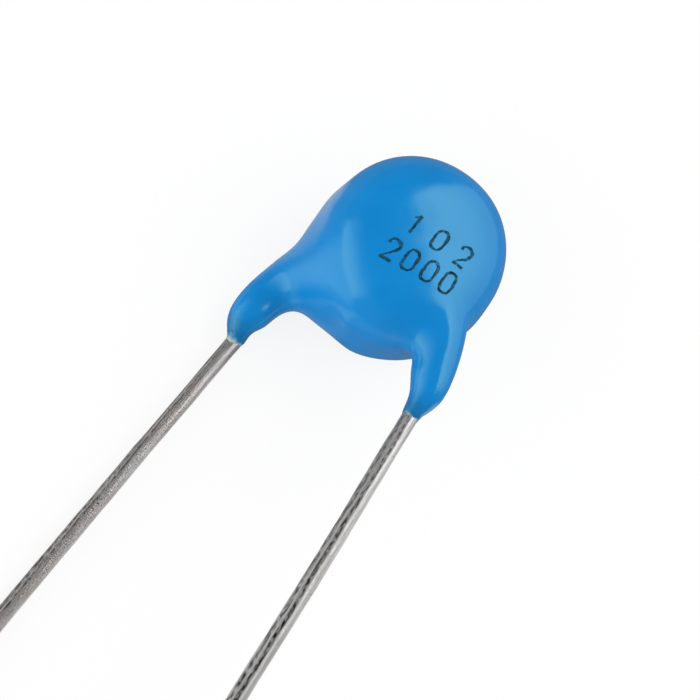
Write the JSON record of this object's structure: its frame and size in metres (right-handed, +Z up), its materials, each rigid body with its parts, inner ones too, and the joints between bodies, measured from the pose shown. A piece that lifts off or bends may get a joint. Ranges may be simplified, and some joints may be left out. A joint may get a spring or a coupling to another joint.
{
  "type": "ceramic disc capacitor",
  "caption": "Thick ceramic disc capacitor dipped in glossy blue epoxy, with straight tinned radial leads for through-hole boards.",
  "frame": {"origin": "middle of the footprint, on the surface that the part lies on", "axes": "+Z up, out of the front face; the leads run towards -Y; +X to the right lead"},
  "size_m": [0.01, 0.0321, 0.0068],
  "materials": {
    "blue_epoxy": "glossy dipped epoxy, smooth, with runs down the leads",
    "tinned_wire": "dull tinned wire with fine drawing lines",
    "ceramic": "matt fired ceramic",
    "silver_film": "matt fired silver",
    "solder": "satin solder"
  },
  "bodies": {
    "root": {"ceramic_disc": "ceramic", "front_electrode": "silver_film", "back_electrode": "silver_film", "front_solder": "solder", "back_solder": "solder", "left_lead": "tinned_wire", "right_lead": "tinned_wire", "epoxy_coating": "blue_epoxy"}
  },
  "joints": []
}
